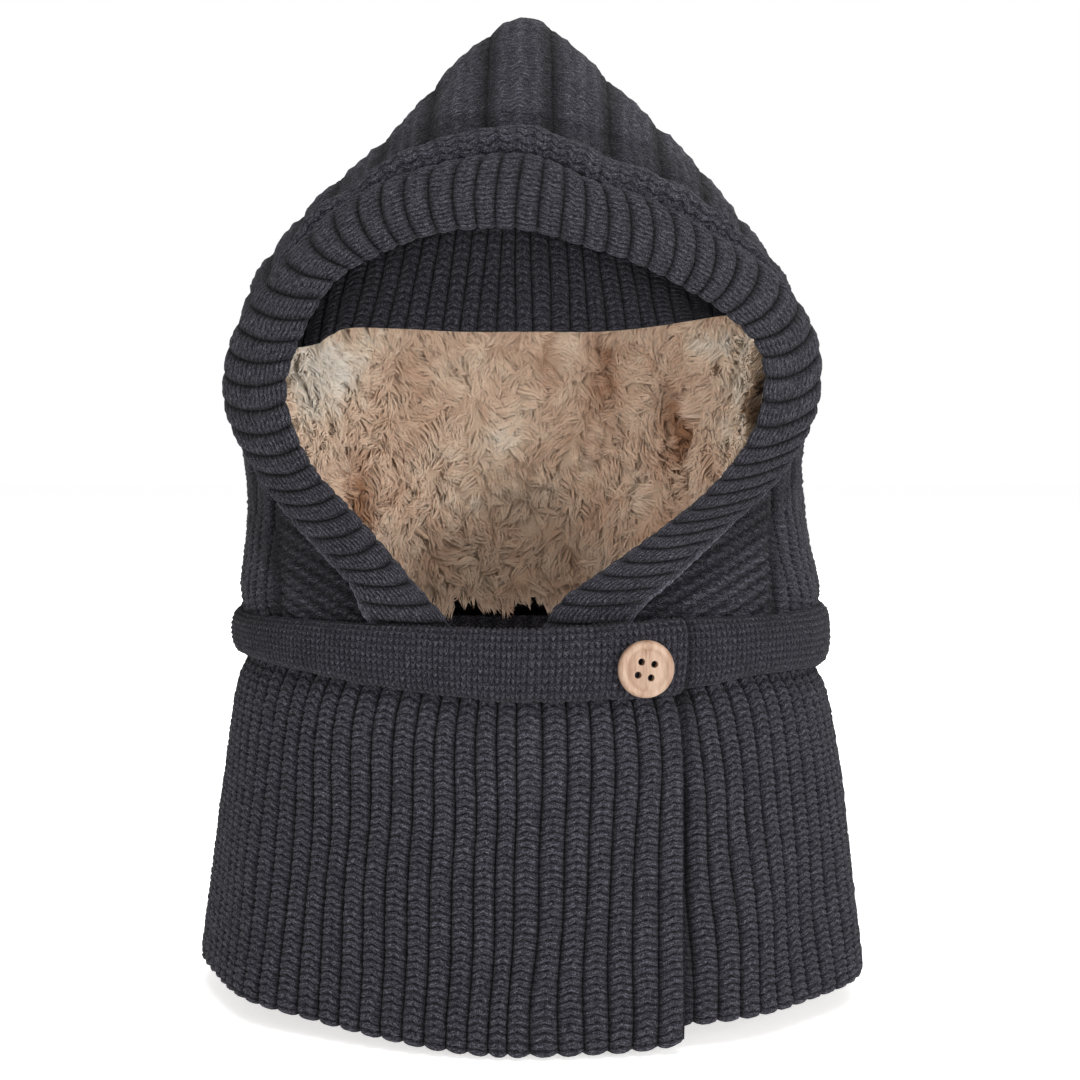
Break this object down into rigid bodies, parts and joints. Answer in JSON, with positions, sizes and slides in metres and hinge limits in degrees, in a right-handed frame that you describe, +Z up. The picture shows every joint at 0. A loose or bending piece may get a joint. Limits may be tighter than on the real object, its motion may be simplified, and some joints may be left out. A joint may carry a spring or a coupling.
{
  "type": "knit balaclava",
  "caption": "Child's charcoal rib-knit hooded balaclava with a padded face cuff, pile-fleece lining, buttoned collar band and flared neck cape, shown as worn.",
  "frame": {"origin": "head_seat: the place on the lining's inside, over the middle of the neck, where the crown of the wearer's head sits", "axes": "+Z up through the wearer's head; the face opening looks towards -Y; +X is the wearer's left"},
  "size_m": [0.2174, 0.2028, 0.3168],
  "materials": {
    "rib_knit": "chunky rib knit in heathered charcoal wool-blend yarn",
    "band_knit": "dense fine plain knit in the same charcoal yarn",
    "fleece": "clumped beige pile fleece",
    "button_wood": "pale satin wood"
  },
  "bodies": {
    "root": {"hood_shell": "rib_knit", "hood_lining": "fleece", "face_cuff": "rib_knit", "forehead_band": "rib_knit", "collar_band": "band_knit", "cape": "rib_knit", "button": "button_wood"}
  },
  "joints": []
}
